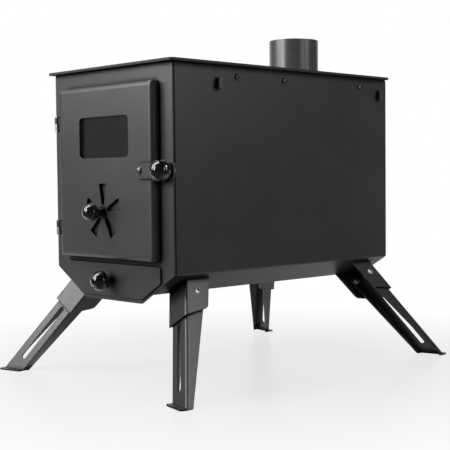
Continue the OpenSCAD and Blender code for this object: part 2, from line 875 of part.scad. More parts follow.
disc_front = door_back + disc_gap;
disc_back = disc_front + disc_t;
hub_back = door_face - turn_gap;
hub_front = hub_back - hub_t;
air_ball_y = door_face - air_ball_out;

module air_disc() {
    color("silver") difference() {
        along_y(disc_front, disc_back) difference() {
            translate([air_x, air_z]) circle(air_out + disc_rim, $fn = 96);
            air_slots(disc_turn);
        }
        rod_y(air_x, air_z, stem_hole_r, disc_front - eps, disc_back + eps);
    }
}

module air_washer() {
    color("silver") difference() {
        rod_y(air_x, air_z, washer_d / 2, door_back + turn_gap, disc_front);
        rod_y(air_x, air_z, stem_hole_r, door_back, disc_front + eps);
    }
}

module air_stem() {
    color("silver") {
        rod_y(air_x, air_z, stem_d / 2, air_ball_y + air_ball_d / 2 - stud_in, disc_back + nut_h);
        rod_y(air_x, air_z, hub_d / 2, hub_front, hub_back);
    }
}

module air_nut() {
    color("silver") translate([air_x, disc_back + nut_h, air_z]) rotate([90, 0, 0]) difference() {
        cylinder(r = stem_nut_af / 2 / cos(30), h = nut_h, $fn = 6);
        translate([0, 0, -eps]) cylinder(r = stem_hole_r, h = nut_h + 2 * eps);
    }
}

module air_knob() {
    color("black") translate([air_x, air_ball_y, air_z])
        ball_knob(air_ball_d, stem_d / 2, neck_d / 2, hub_front - air_ball_y);
}

// --- Latch ---

module latch_bar() {
    color("dimgray") along_y(latch_face, latch_back) difference() {
        translate([latch_x, latch_z]) {
            circle(latch_w / 2);
            translate([0, -latch_w / 2]) square([latch_l / 2, latch_w]);
            rounded(box_points(latch_l / 2 - 2 * latch_r, -latch_w / 2, latch_l, latch_w / 2), latch_r);
        }
        translate([latch_x, latch_z]) circle(hole_r);
        translate([ball_x, latch_z]) circle(stud_hole_r);
    }
}

module latch_pivot_bolt() {
    l = latch_gap + latch_t + latch_play + door_t + nut_h + thread_out;
    color("silver") translate([latch_x, latch_face - latch_play, latch_z])
        rotate([90, 0, 0]) bolt(l);
}

module latch_nut() {
    color("silver") translate([latch_x, door_back + nut_h, latch_z]) rotate([90, 0, 0]) nut();
}

module latch_stud() {
    color("silver") {
        rod_y(ball_x, latch_z, stud_d / 2, latch_face - ball_out + ball_d / 2 - stud_in, latch_back);
        rod_y(ball_x, latch_z, stud_head_r, latch_back, latch_back + stud_head_h);
    }
}

module latch_knob() {
    color("black") translate([ball_x, latch_face - ball_out, latch_z])
        ball_knob(ball_d, stud_d / 2, stud_head_r, ball_out);
}

module latch_keeper() {
    z = latch_z - latch_w / 2 - keeper_gap;
    color("gray") along_x(door_edge + keeper_off, door_edge + keeper_off + keeper_w) {
        translate([latch_face, z - keeper_t]) square([front_y - latch_face, keeper_t]);
        translate([front_y - keeper_t, z - keeper_t]) square([keeper_t, keeper_foot]);
    }
}

// --- Ash drawer ---

module ash_tray() {
    color("gray") difference() {
        translate([-tray_w / 2, face_back, tray_z]) cube([tray_w, tray_l, tray_h]);
        translate([-tray_w / 2 + tray_t, face_back + tray_t, tray_z + tray_t])
            cube([tray_w - 2 * tray_t, tray_l - 2 * tray_t, tray_h]);
        rod_y(0, drawer_z, stud_hole_r, face_back - eps, face_back + tray_t + eps);
    }
}

module drawer_front() {
    color("dimgray") difference() {
        along_y(face_front, face_back) rounded(face_outline, face_r);
        rod_y(0, drawer_z, stud_hole_r, face_front - eps, face_back + eps);
    }
}

module drawer_stud() {
    color("silver") {
        rod_y(0, drawer_z, stud_d / 2, face_front - face_ball_out + ball_d / 2 - stud_in,
              face_back + tray_t);
        rod_y(0, drawer_z, stud_head_r, face_back + tray_t, face_back + tray_t + stud_head_h);
    }
}

module drawer_knob() {
    color("black") translate([0, face_front - face_ball_out, drawer_z])
        ball_knob(ball_d, stud_d / 2, stud_head_r, face_ball_out);
}

// --- Legs ---

// Lays the children on the sloping strip of one corner: X up the strip, -Z away from it
module on_strip(right, rear) {
    mirror([right ? 0 : 1, 0, 0]) mirror([0, rear ? 1 : 0, 0])
        translate([half_w, 0, bend_z]) rotate([0, -chamfer_a, 0]) children();
}

// The same corner with Z along the leg's web and Y into the channel
module on_web() {
    translate([0, -leg_y, 0]) rotate([-leg_lean, 0, 0]) children();
}

// The pivot's axis, along X from the leg's side
module at_pivot() {
    on_web() translate([0, pivot_in, pivot_z]) rotate([0, 90, 0]) children();
}

module leg_side_view() {
    far = foot_z - leg_w;
    union() {
        polygon([[0, pivot_z], [0, far], [leg_deep + taper * (far - pivot_z), far],
                 [leg_deep, pivot_z]]);
        translate([pivot_in, pivot_z]) circle(pivot_in);
        translate([pivot_in, pivot_z]) intersection() {
            circle(leg_deep - pivot_in);
            square(leg_deep);
        }
    }
}

module leg_channel() {
    far = -foot_z + leg_w;
    intersection() {
        difference() {
            translate([0, 0, -far]) linear_extrude(far + leg_w)
                rounded(box_points(-leg_s2, 0, -leg_s, 4 * leg_deep), leg_bend);
            translate([0, 0, -far - eps]) linear_extrude(far + leg_w + 2 * eps)
                rounded(box_points(-leg_s2 + leg_t, leg_t, -leg_s - leg_t, 5 * leg_deep),
                        leg_bend - leg_t);
            translate([-leg_s2 - eps, -eps, pivot_z]) cube([leg_w + 2 * eps, leg_t + eps, leg_w]);
        }
        along_x(-leg_s2 - eps, -leg_s + eps) leg_side_view();
    }
}

// The inner flange is shallower than the outer one
module inner_flange_cut() {
    low = foot_z - 2 * leg_w;
    high = pivot_z + leg_w;
    along_x(-leg_s2 - eps, -(leg_s + leg_w / 2))
        polygon([[inner_deep + taper_in * (low - pivot_z), low], [2 * leg_deep, low],
                 [2 * leg_deep, high], [inner_deep + taper_in * (high - pivot_z), high]]);
}

module leg_web_slot() {
    mid = -(leg_s + leg_w / 2);
    low = -floor_h(leg_s + leg_w / 2) / cos(leg_lean) + leg_slot_low;
    along_y(-eps, leg_t + eps) {
        translate([mid - leg_slot_w / 2, low]) square([leg_slot_w, pivot_z - leg_slot_top - low]);
        translate([mid, low]) circle(leg_slot_w / 2);
        translate([mid, pivot_z - leg_slot_top]) circle(leg_slot_w / 2);
    }
}

// The foot's lip lies flat on the floor, outside the web
module foot_lip() {
    p1 = [foot_x(leg_s), -foot_y(leg_s)];
    p2 = [foot_x(leg_s2), -foot_y(leg_s2)];
    a = unit(p1 - p2);
    n = -left_of(a);
    q1 = p1 - a * lip_side;
    q2 = p2 + a * lip_side;
    linear_extrude(leg_t) intersection() {
        rounded([q2 - n * lip_l, q2 + n * lip_l, q1 + n * lip_l, q1 - n * lip_l], lip_r);
        polygon([q2 - n * leg_t, q2 + n * 2 * lip_l, q1 + n * 2 * lip_l, q1 - n * leg_t]);
    }
}

module leg(right, rear) {
    color("dimgray") union() {
        intersection() {
            on_strip(right, rear) difference() {
                on_web() difference() {
                    leg_channel();
                    inner_flange_cut();
                    leg_web_slot();
                }
                at_pivot() translate([0, 0, -leg_s2 - eps]) cylinder(r = hole_r, h = leg_w + 2 * eps);
            }
            translate([-body_l, -body_l, 0]) cube([2 * body_l, 2 * body_l, top_z]);
        }
        mirror([right ? 0 : 1, 0, 0]) mirror([0, rear ? 1 : 0, 0]) foot_lip();
    }
}

module leg_bracket(right, rear) {
    far = 2 * bracket_h;
    deep = bracket_y * cos(leg_lean);
    color("dimgray") on_strip(right, rear) difference() {
        intersection() {
            on_web() difference() {
                translate([0, 0, -far]) linear_extrude(2 * far)
                    rounded(box_points(-bracket_s2, bracket_web, -bracket_s, bracket_web + 2 * deep),
                            bracket_bend);
                translate([0, 0, -far - eps]) linear_extrude(2 * far + 2 * eps)
                    rounded(box_points(-bracket_s2 + bracket_t, bracket_web + bracket_t,
                                       -bracket_s - bracket_t, bracket_web + 3 * deep),
                            bracket_bend - bracket_t);
            }
            along_x(-bracket_s2, -bracket_s) bracket_side_view();
        }
        at_pivot() translate([0, 0, -bracket_s2 - eps])
            cylinder(r = hole_r, h = bracket_s2 - bracket_s + 2 * eps);
    }
}

// Side view on the strip: Y along the body, Z away from the strip
module bracket_side_view() {
    y0 = -leg_y + bracket_web / cos(leg_lean);
    lean = bracket_h * tan(leg_lean);
    side = [[y0, 0], [y0 - lean, -bracket_h], [y0 - lean + bracket_y, bracket_rise - bracket_h],
            [y0 + bracket_y, 0]];
    arc = corner_arc(side, 2, bracket_r, 12);
    polygon(concat([side[0], side[1]], arc, [side[3]]));
}

module at_corners() {
    for (right = [true, false], rear = [false, true])
        on_strip(right, rear) at_pivot() children();
}

module leg_pivot_bolts() {
    out_l = bracket_t + side_gap_out + leg_t + nut_gap + nut_h + thread_out;
    in_l = bracket_t + side_gap_in + leg_t + nut_gap + nut_h + thread_out;
    color("silver") at_corners() {
        translate([0, 0, -bracket_s]) bolt(out_l);
        translate([0, 0, -bracket_s2]) mirror([0, 0, 1]) bolt(in_l);
    }
}

module leg_pivot_nuts() {
    color("silver") at_corners() {
        translate([0, 0, -leg_s - leg_t - nut_gap - nut_h]) nut();
        translate([0, 0, -leg_s2 + leg_t + nut_gap]) nut();
    }
}

module leg_bracket_front_right() { leg_bracket(true, false); }
module leg_bracket_front_left() { leg_bracket(false, false); }
module leg_bracket_rear_right() { leg_bracket(true, true); }
module leg_bracket_rear_left() { leg_bracket(false, true); }
module leg_front_right() { leg(true, false); }
module leg_front_left() { leg(false, false); }
module leg_rear_right() { leg(true, true); }
module leg_rear_left() { leg(false, true); }

body_shell();
front_panel();
rear_panel();
top_plate();
flue_collar();
collar_weld();
top_rails();
side_bolts();
side_nuts();
side_hooks();
fire_grate();
grate_ledges();
baffle_plate();
baffle_ledges();
drawer_guides();
door_pan();
door_seal();
window_glass();
window_seal();
window_frame();
window_screws();
door_hinge_leaves();
body_hinge_leaves();
hinge_pins();
air_disc();
air_washer();
air_stem();
air_nut();
air_knob();
latch_bar();
latch_pivot_bolt();
latch_nut();
latch_stud();
latch_knob();
latch_keeper();
ash_tray();
drawer_front();
drawer_stud();
drawer_knob();
leg_bracket_front_right();
leg_bracket_front_left();
leg_bracket_rear_right();
leg_bracket_rear_left();
leg_front_right();
leg_front_left();
leg_rear_right();
leg_rear_left();
leg_pivot_bolts();
leg_pivot_nuts();
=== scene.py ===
import math

import bmesh
import bpy
import numpy as np
from mathutils import Matrix, Vector


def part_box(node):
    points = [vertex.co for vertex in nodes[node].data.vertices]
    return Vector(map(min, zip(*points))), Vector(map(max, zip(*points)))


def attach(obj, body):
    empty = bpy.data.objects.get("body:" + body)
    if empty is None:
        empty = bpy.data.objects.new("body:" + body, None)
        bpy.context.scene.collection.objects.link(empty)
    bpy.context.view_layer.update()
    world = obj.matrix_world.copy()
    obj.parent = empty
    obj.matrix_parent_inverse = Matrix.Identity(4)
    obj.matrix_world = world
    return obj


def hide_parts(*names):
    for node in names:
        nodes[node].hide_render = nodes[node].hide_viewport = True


# Tent wood stove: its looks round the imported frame. Metres, X right, the door faces -Y, Z up.
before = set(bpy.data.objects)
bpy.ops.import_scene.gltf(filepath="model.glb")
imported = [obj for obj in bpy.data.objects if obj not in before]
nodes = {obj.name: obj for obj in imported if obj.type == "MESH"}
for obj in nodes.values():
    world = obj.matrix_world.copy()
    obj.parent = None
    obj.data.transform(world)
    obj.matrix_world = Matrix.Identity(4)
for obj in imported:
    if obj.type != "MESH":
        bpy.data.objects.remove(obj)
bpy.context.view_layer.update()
print("frame loaded:", len(nodes), "nodes")


class Wire:
    # one output of a node; + - * ** and abs() on it add the nodes that work the sum out
    def __init__(self, tree, socket):
        self.tree, self.socket = tree, socket

    def work(self, operation, *values):
        n = self.tree.nodes.new("ShaderNodeMath")
        n.operation = operation
        for socket, value in zip(n.inputs, values):
            feed(self.tree, value, socket)
        return Wire(self.tree, n.outputs[0])

    def curve(self, operation, *others):  # a sum that has no operator
        return self.work(operation, self, *others)

    def scaled(self, factor):  # for colours, which a Math node would turn grey
        n = self.tree.nodes.new("ShaderNodeVectorMath")
        n.operation = "SCALE"
        feed(self.tree, self, n.inputs[0])
        feed(self.tree, factor, n.inputs["Scale"])
        return Wire(self.tree, n.outputs[0])

    def __add__(self, other):
        return self.work("ADD", self, other)

    def __radd__(self, other):
        return self.work("ADD", other, self)

    def __sub__(self, other):
        return self.work("SUBTRACT", self, other)

    def __rsub__(self, other):
        return self.work("SUBTRACT", other, self)

    def __mul__(self, other):
        if self.socket.type in ("VECTOR", "RGBA"):
            return self.scaled(other)
        return self.work("MULTIPLY", self, other)

    def __rmul__(self, other):
        return self * other

    def __pow__(self, other):
        return self.work("POWER", self, other)

    def __abs__(self):
        return self.curve("ABSOLUTE")

    def limit(self, low, high):  # 0 at low, 1 at high, straight between and cut off outside
        n = self.tree.nodes.new("ShaderNodeMapRange")
        feed(self.tree, self, n.inputs["Value"])
        n.inputs["From Min"].default_value, n.inputs["From Max"].default_value = low, high
        return Wire(self.tree, n.outputs["Result"])

    def part(self, index):  # 0 x, 1 y, 2 z
        n = self.tree.nodes.new("ShaderNodeSeparateXYZ")
        feed(self.tree, self, n.inputs[0])
        return Wire(self.tree, n.outputs[index])


def feed(tree, value, socket):
    if isinstance(value, Wire):
        tree.links.new(value.socket, socket)
    elif socket.type == "RGBA":
        socket.default_value = (*value, 1)
    else:
        socket.default_value = value


class Graph:
    # an empty node tree; node() adds any node to it, and end is its output
    def __init__(self, tree, output):
        self.tree = tree
        tree.nodes.clear()
        self.end = tree.nodes.new("ShaderNode" + output)

    def node(self, kind, setup=None, sockets=None, out=0):
        n = self.tree.nodes.new("ShaderNode" + kind)
        for key, value in (setup or {}).items():
            if key == "stops":
                while len(n.color_ramp.elements) < len(value):
                    n.color_ramp.elements.new(0.5)
                for stop, (at, colour) in zip(n.color_ramp.elements, value):
                    stop.position, stop.color = at, (*colour, 1)
            else:
                setattr(n, key, value)
        for key, value in (sockets or {}).items():
            feed(self.tree, value, n.inputs[key])
        return Wire(self.tree, n.outputs[out])

    def show(self, shader):
        feed(self.tree, shader, self.end.inputs["Surface"])


class Finish(Graph):
    # one material: its Principled shader, and the few looks that several finishes share
    def __init__(self, name, **fixed):
        self.material = bpy.data.materials.new(name)
        self.material.use_nodes = True
        super().__init__(self.material.node_tree, "OutputMaterial")
        self.principled = self.tree.nodes.new("ShaderNodeBsdfPrincipled")
        self.skin = Wire(self.tree, self.principled.outputs[0])
        self.show(self.skin)
        self.set(**fixed)
        self.place = self.node("TexCoord", out="Object")

    def set(self, **values):  # baseColor=... fills the socket Base Color
        for key, value in values.items():
            words = "".join(" " + c if c.isupper() else c for c in key).title()
            words = words.replace("Ior", "IOR").replace("Specular Level", "Specular IOR Level")
            feed(self.tree, value, self.principled.inputs[words])

    def noise(self, scale, detail=2.0, roughness=0.5, where=None):
        return self.node("TexNoise", None, {"Vector": where or self.place, "Scale": scale,
                                            "Detail": detail, "Roughness": roughness})

    def mix(self, share, a, b):  # colours
        return self.node("Mix", {"data_type": "RGBA"}, {0: share, 6: a, 7: b}, out=2)

    def roundedEdges(self, radius):
        return self.node("Bevel", {"samples": 4}, {"Radius": radius})

    def edges(self, soft):  # about 0 on a flat, rising towards an edge
        facing = self.node("NewGeometry", out="Normal")
        along = self.node("VectorMath", {"operation": "DOT_PRODUCT"}, {0: soft, 1: facing}, out="Value")
        return (1 - along).limit(0.02, 0.3)

    def openness(self, reach):  # 1 in the open, towards 0 where other metal is within reach
        return self.node("AmbientOcclusion", {"samples": 8}, {"Distance": reach}, out="AO")

    def pressedBend(self, radius, low, high, other):
        # the normal of a pan pressed from the front, with outer bends of this radius; other elsewhere
        x, y, z = (self.place.part(i) for i in range(3))
        nx = (x - (high.x - radius)).curve("MAXIMUM", 0) + (x - (low.x + radius)).curve("MINIMUM", 0)
        nz = (z - (high.z - radius)).curve("MAXIMUM", 0) + (z - (low.z + radius)).curve("MINIMUM", 0)
        ny = (y - (low.y + radius)).curve("MINIMUM", 0)
        outward = self.node("CombineXYZ", None, {0: nx, 1: ny, 2: nz})
        asPosed = {"vector_type": "NORMAL", "convert_from": "OBJECT", "convert_to": "WORLD"}
        turned = self.node("VectorTransform", asPosed, {0: outward})
        bend = self.node("VectorMath", {"operation": "NORMALIZE"}, {0: turned})
        facing = self.node("NewGeometry", out="Normal")
        alike = self.node("VectorMath", {"operation": "DOT_PRODUCT"}, {0: bend, 1: facing}, out="Value")
        atRim = (abs(nx) + abs(nz)).limit(0.0, 0.0004)
        outside = alike.limit(0.6, 0.65)  # not on the pan's inner face
        return self.node("Mix", {"data_type": "VECTOR"}, {0: outside * atRim, 4: other, 5: bend}, out=1)

    def bump(self, height, depth, strength=1.0, normal=None):
        sockets = {"Height": height, "Distance": depth, "Strength": strength}
        if normal is not None:
            sockets["Normal"] = normal
        return self.node("Bump", None, sockets)


coatTones = {
    "dark": (0.028, 0.028, 0.029), "light": (0.039, 0.039, 0.039),  # the two tones of its clouds
    "speck": (0.1, 0.1, 0.1), "speckScale": 1500, "speckShare": 0.35,
    "cloudScale": 14, "peelScale": 650, "peel": 0.00012, "rough": 0.4, "shine": 0.9,
    "edge": 0.0008, "wear": 0.5, "wearScale": 60,
    "gap": 0.012, "gapShadeDark": 0.9, "gapRough": 0.5, "gapShadeDull": 0.8,  # painted shade in gaps: less colour and gloss
}


def stoveCoat(name, spec):
    # matte heat-resistant coating: cloudy tone, orange peel, fine grit, edges rubbed a little paler, painted
    # shade in gaps
    f = Finish(name, specularLevel=spec["shine"])
    soft = f.roundedEdges(spec["edge"])
    if "bend" in spec:
        soft = f.pressedBend(spec["bend"], spec["low"], spec["high"], soft)
    cloud = f.noise(spec["cloudScale"], 5, 0.6)
    peel = f.noise(spec["peelScale"], 2)
    grit = f.noise(spec["peelScale"] * 4, 2)
    worn = f.edges(soft) * f.noise(spec["wearScale"], 3).limit(0.3, 0.7)
    speck = f.noise(spec["speckScale"], 1).limit(0.66, 0.72)
    tone = f.mix(cloud.limit(0.3, 0.7), spec["dark"], spec["light"])
    tone = f.mix(speck * spec["speckShare"], tone, spec["speck"])
    tone = f.mix(worn * spec["wear"], tone, spec["speck"])
    # painted shade: darker colour, and gloss dulled through the metallic value, where other metal is near: in
    # gaps, corners and under parts
    paintedGapShade = (1 - f.openness(spec["gap"])).limit(0.16, 0.55)
    if "seam" in spec:  # the joint behind the front panel, painted as a dark shaded line
        paintedGapShade = paintedGapShade.curve("MAXIMUM", 1 - (f.place.part(1) - spec["seam"]).limit(0.0014, 0.0024))
    f.set(baseColor=tone * (1 - paintedGapShade * spec["gapShadeDark"]), metallic=paintedGapShade * spec["gapShadeDull"])
    f.set(roughness=cloud * 0.12 + grit * 0.1 + paintedGapShade * spec["gapRough"] + (spec["rough"] - 0.11))
    f.set(normal=f.bump(peel * 0.7 + grit * 0.3, spec["peel"], 1.0, soft))
    return f.material


panLow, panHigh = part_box("door_pan")
bodyCoat = stoveCoat("bodyCoat", coatTones)
shellCoat = stoveCoat("shellCoat", coatTones | {"seam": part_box("body_shell")[0].y})
panCoat = stoveCoat("panCoat", coatTones | {"cloudScale": 11, "bend": 0.006, "low": panLow, "high": panHigh})
barCoat = stoveCoat("barCoat", coatTones | {"edge": 0.0006, "wear": 0.9})
# the side hooks: a paler copy of the coat, a painted highlight on their outer faces, with more edge wear
hookHighlightCoat = stoveCoat("hookHighlightCoat", coatTones | {"dark": (0.06, 0.06, 0.061), "light": (0.07, 0.07, 0.07),
                                              "speck": (0.2, 0.2, 0.2), "edge": 0.0012, "wear": 0.8,
                                              "rough": 0.36})
plateCoat = stoveCoat("plateCoat", coatTones | {"dark": (0.021, 0.021, 0.022), "light": (0.029, 0.029, 0.029),
                                                "rough": 0.55, "wear": 0.15, "peel": 0.00009, "shine": 0.5,
                                                "edge": 0.0004})
legCoat = stoveCoat("legCoat", coatTones | {"dark": (0.02, 0.02, 0.021), "light": (0.029, 0.029, 0.029),
                                            "edge": 0.001, "wear": 0.3, "rough": 0.38})
collarCoat = stoveCoat("collarCoat", coatTones | {"dark": (0.08, 0.08, 0.081), "light": (0.095, 0.095, 0.095),
                                                  "rough": 0.3, "shine": 1.0, "peel": 0.00008,
                                                  "edge": 0.0005})

platedSocketShade = {"reach": 0.0025, "power": 2.2}  # painted shade: how plated metal is darkened in sockets and at its foot


def platedSteel(name, spec):
    # zinc plate: fine turning lines, faint blue and straw clouds, small stains, painted shade in sockets
    f = Finish(name, metallic=1.0)
    soft = f.roundedEdges(0.0004)
    cloud = f.noise(240, 3)
    fine = f.noise(5200, 2)
    # painted shade: 1 in the open, darker in sockets and at the foot
    socketShadeFactor = f.openness(platedSocketShade["reach"]) ** platedSocketShade["power"]
    stain = f.noise(900, 2).limit(0.55, 0.8) * 0.5
    tone = f.mix(cloud.limit(0.35, 0.65), spec["cool"], spec["warm"])
    f.set(baseColor=f.mix(stain, tone, spec["stain"]) * socketShadeFactor)
    f.set(roughness=fine * 0.16 + cloud * 0.1 + spec["rough"])
    f.set(normal=f.bump(fine, 0.00004, 0.6, soft))
    return f.material


darkPlate = platedSteel("darkPlate", {"cool": (0.035, 0.036, 0.04), "warm": (0.05, 0.048, 0.045),
                                      "stain": (0.02, 0.02, 0.02), "rough": 0.26})
latchPlate = platedSteel("latchPlate", {"cool": (0.16, 0.165, 0.175), "warm": (0.2, 0.195, 0.18),
                                        "stain": (0.08, 0.08, 0.08), "rough": 0.24})
zincPlate = platedSteel("zincPlate", {"cool": (0.6, 0.62, 0.65), "warm": (0.68, 0.66, 0.6),
                                      "stain": (0.32, 0.31, 0.3), "rough": 0.2})


def threadedSteel(name, spec):
    # bolts: a screw thread runs along axis as far as headAt, measured from the middle of the stove
    f = Finish(name, metallic=spec["metal"])
    soft = f.roundedEdges(0.0003)
    along = abs(f.place.part(0)) * spec["axis"][0] + f.place.part(2) * spec["axis"][1]
    wave = (along * (2 * math.pi / spec["pitch"])).curve("SINE")
    shank = (spec["headAt"] - along).limit(0.0, 0.0006)
    fine = f.noise(4200, 2)
    # painted shade: darker in the socket and at the foot
    socketShadeFactor = f.openness(platedSocketShade["reach"]) ** platedSocketShade["power"]
    f.set(baseColor=f.mix(f.noise(300, 3).limit(0.35, 0.65), spec["cool"], spec["warm"]) * socketShadeFactor)
    f.set(roughness=fine * 0.15 + spec["rough"])
    f.set(normal=f.bump(wave * shank * 0.25 + fine * 0.04, 0.0006, 0.8, soft))
    return f.material


slope = math.radians(31.5)  # of the legs' bolts
boltPitch = 0.0008
zincBolt = threadedSteel("zincBolt", {"cool": (0.78, 0.8, 0.83), "warm": (0.84, 0.82, 0.77), "metal": 1.0,
                                      "axis": (math.cos(slope), math.sin(slope)), "pitch": boltPitch,
                                      "headAt": 1.0, "rough": 0.24})
darkBolt = threadedSteel("darkBolt", {"cool": (0.1, 0.1, 0.105), "warm": (0.13, 0.127, 0.12), "metal": 0.8,
                                      "axis": (1, 0), "pitch": boltPitch, "headAt": 0.1135, "rough": 0.26})


def millSteel(name, spec):
    # uncoated sheet inside the fire: rolling lines, straw and blue heat tint, soot in the low places
    f = Finish(name, metallic=0.75)
    soft = f.roundedEdges(0.0005)
    x, y, z = (f.place.part(i) for i in range(3))
    rolled = f.node("CombineXYZ", None, {0: x * 1400, 1: y * 45, 2: z * 1400})
    lines = f.noise(1.0, 4, where=rolled)
    tint = f.node("ValToRGB", {"stops": spec["tints"]}, {0: f.noise(16, 4, 0.65)})
    soot = f.noise(38, 5, 0.7).limit(0.46, 0.74)
    f.set(baseColor=f.mix(soot * 0.8, tint, spec["soot"]))
    f.set(roughness=soot * 0.35 + lines * 0.16 + 0.32)
    f.set(normal=f.bump(lines * 0.5 + soot * 0.3, 0.00012, 0.7, soft))
    return f.material


fireSteel = millSteel("fireSteel", {"tints": [(0.2, (0.2, 0.2, 0.21)), (0.45, (0.26, 0.25, 0.24)),
                                              (0.62, (0.3, 0.25, 0.17)), (0.8, (0.13, 0.15, 0.22))],
                                    "soot": (0.02, 0.019, 0.018)})


def castIron(name, spec):
    # sand-cast skin with small pits and patches of rust
    f = Finish(name, metallic=0.55)
    soft = f.roundedEdges(0.0008)
    skin = f.noise(700, 4, 0.65)
    pits = f.noise(1900, 2).limit(0.6, 0.75)
    rust = f.noise(26, 5, 0.7).limit(0.52, 0.72)
    f.set(baseColor=f.mix(rust * 0.45, f.mix(skin, spec["dark"], spec["light"]), spec["rust"]))
    f.set(roughness=skin * 0.25 + 0.55)
    f.set(normal=f.bump(skin - pits * 0.6, 0.0004, 0.7, soft))
    return f.material


grateIron = castIron("grateIron", {"dark": (0.035, 0.034, 0.033), "light": (0.07, 0.068, 0.066),
                                   "rust": (0.13, 0.06, 0.03)})


def mouldedKnob(name, spec):
    # polished phenolic: deep black under a clear skin, faint flow marks and handling scratches
    f = Finish(name, specularLevel=0.25, coatRoughness=0.05, coatIor=1.7)
    flow = f.noise(70, 4, 0.6)
    brushed = f.node("Mapping", None, {"Vector": f.place, "Rotation": (0.4, 0.9, 0.3),
                                       "Scale": (260, 5200, 900)})
    marks = f.noise(1.0, 3, where=brushed).limit(0.62, 0.74)
    f.set(baseColor=f.mix(flow.limit(0.35, 0.7), spec["deep"], spec["flow"]))
    f.set(roughness=marks * 0.1 + flow * 0.04 + spec["rough"], coatWeight=1 - marks * 0.5)
    f.set(normal=f.bump(flow * 0.2 - marks * 0.1, 0.00005, 0.5))
    return f.material


knobBlack = mouldedKnob("knobBlack", {"deep": (0.002, 0.002, 0.002), "flow": (0.004, 0.004, 0.004),
                                      "rough": 0.05})


def fibreRope(name, spec):
    # glass-fibre rope and tape: pale bundles with painted shade in the hollows where they cross, some darker
    # threads, smoke stains
    f = Finish(name, specularLevel=0.25, sheenWeight=0.3, sheenRoughness=0.5)
    # painted shade: low Pointiness marks the rope's hollows, which take the dark tone
    depth = f.node("NewGeometry", out="Pointiness").limit(0.44, 0.54)
    fine = f.node("Mapping", None, {"Vector": f.place, "Scale": (2600, 2600, 2600)})
    threads = f.noise(1.0, 2, where=fine)
    smoke = f.noise(22, 4, 0.6).limit(0.4, 0.75)
    tone = f.mix(depth, spec["hollowShadeAndThreadTone"], spec["fibre"])
    tone = f.mix(threads.limit(0.3, 0.75) * 0.4, tone, spec["hollowShadeAndThreadTone"])
    f.set(baseColor=f.mix(smoke * 0.5, tone, spec["smoke"]))
    f.set(roughness=threads * 0.15 + 0.75)
    f.set(normal=f.bump(threads, 0.00025, 0.7))
    return f.material


sealFibre = fibreRope("sealFibre", {"fibre": (0.6, 0.58, 0.53), "hollowShadeAndThreadTone": (0.2, 0.19, 0.17),
                                    "smoke": (0.09, 0.08, 0.07)})


def fireGlass(name, spec):
    # ceramic glass: smoky tint, under a film of ash dust
    f = Finish(name, baseColor=spec["tint"], transmissionWeight=1.0, ior=1.52)
    smear = f.noise(34, 4, 0.6)
    f.set(roughness=smear.limit(0.45, 0.8) * 0.12 + 0.02)
    f.set(normal=f.bump(f.noise(60, 2), 0.00008, 0.3))
    haze = f.node("BsdfPrincipled", None, {"Base Color": spec["haze"], "Roughness": 0.35})
    share = smear.limit(0.3, 0.8) * 0.2 + spec["film"]
    f.show(f.node("MixShader", None, {0: share, 1: f.skin, 2: haze}))
    return f.material


doorGlass = fireGlass("doorGlass", {"tint": (0.42, 0.42, 0.44), "haze": (0.03, 0.03, 0.03), "film": 0.1})

finishes = {  # and the CAD nodes that have each
    shellCoat: "body_shell",
    bodyCoat: "front_panel rear_panel top_rails drawer_front latch_keeper air_disc door_hinge_leaves",
    panCoat: "door_pan",
    barCoat: "latch_bar",
    hookHighlightCoat: "side_hooks",
    darkPlate: "air_stem air_nut air_washer",
    plateCoat: "top_plate",
    collarCoat: "flue_collar collar_weld",
    legCoat: "leg_bracket_front_right leg_bracket_front_left leg_bracket_rear_right leg_bracket_rear_left "
             "leg_front_right leg_front_left leg_rear_right leg_rear_left",
    darkBolt: "side_bolts side_nuts",
    zincBolt: "leg_pivot_bolts leg_pivot_nuts",
    latchPlate: "latch_pivot_bolt latch_nut",
    zincPlate: "body_hinge_leaves hinge_pins latch_stud drawer_stud window_screws",
    fireSteel: "baffle_plate baffle_ledges grate_ledges drawer_guides ash_tray window_frame",
    grateIron: "fire_grate",
    knobBlack: "air_knob latch_knob drawer_knob",
    sealFibre: "door_seal window_seal",
    doorGlass: "window_glass",
}
for finish, names in finishes.items():
    for name in names.split():
        nodes[name].data.materials.clear()
        nodes[name].data.materials.append(finish)
print("finishes set:", sum(len(names.split()) for names in finishes.values()), "nodes")


def newPiece(name, points, faces, finish, body):
    mesh = bpy.data.meshes.new(name)
    mesh.from_pydata([tuple(p) for p in points], [], [tuple(f) for f in faces])
    bm = bmesh.new()
    bm.from_mesh(mesh)
    bmesh.ops.recalc_face_normals(bm, faces=bm.faces)
    bm.to_mesh(mesh)
    bm.free()
    piece = bpy.data.objects.new(name, mesh)
    bpy.context.scene.collection.objects.link(piece)
    mesh.materials.append(finish)
    mesh.shade_smooth()
    mesh.set_sharp_from_angle(angle=math.radians(40))
    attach(piece, body)
    return piece


def tube(loops, closed):
    # points and faces of a skin over rings of equal length; open ends are capped with a fan
    rings, size = len(loops), len(loops[0])
    points = [p for loop in loops for p in loop]
    faces = []
    for i in range(rings if closed else rings - 1):
        j = (i + 1) % rings
        for k in range(size):
            m = (k + 1) % size
            faces.append((i * size + k, i * size + m, j * size + m, j * size + k))
    if not closed:
        for i in (0, rings - 1):
            points.append(sum((Vector(p) for p in loops[i]), Vector()) / size)
            faces += [(i * size + k, i * size + (k + 1) % size, len(points) - 1) for k in range(size)]
    return points, faces


knobSpec = {"neck": 0.005, "steps": 60, "around": 64,  # radius of the neck; points down the ball and round it
            "seam": 0.00006, "seamWidth": 1.4,  # height of the parting line, and its width in degrees
            "hollow": 0.0009, "edge": 0.0012}  # groove where ball and neck meet, and width of the foot's end
knobBodies = {"latchBall": ("latch_knob", "latch"), "airBall": ("air_knob", "air_control"),
              "drawerBall": ("drawer_knob", "drawer")}


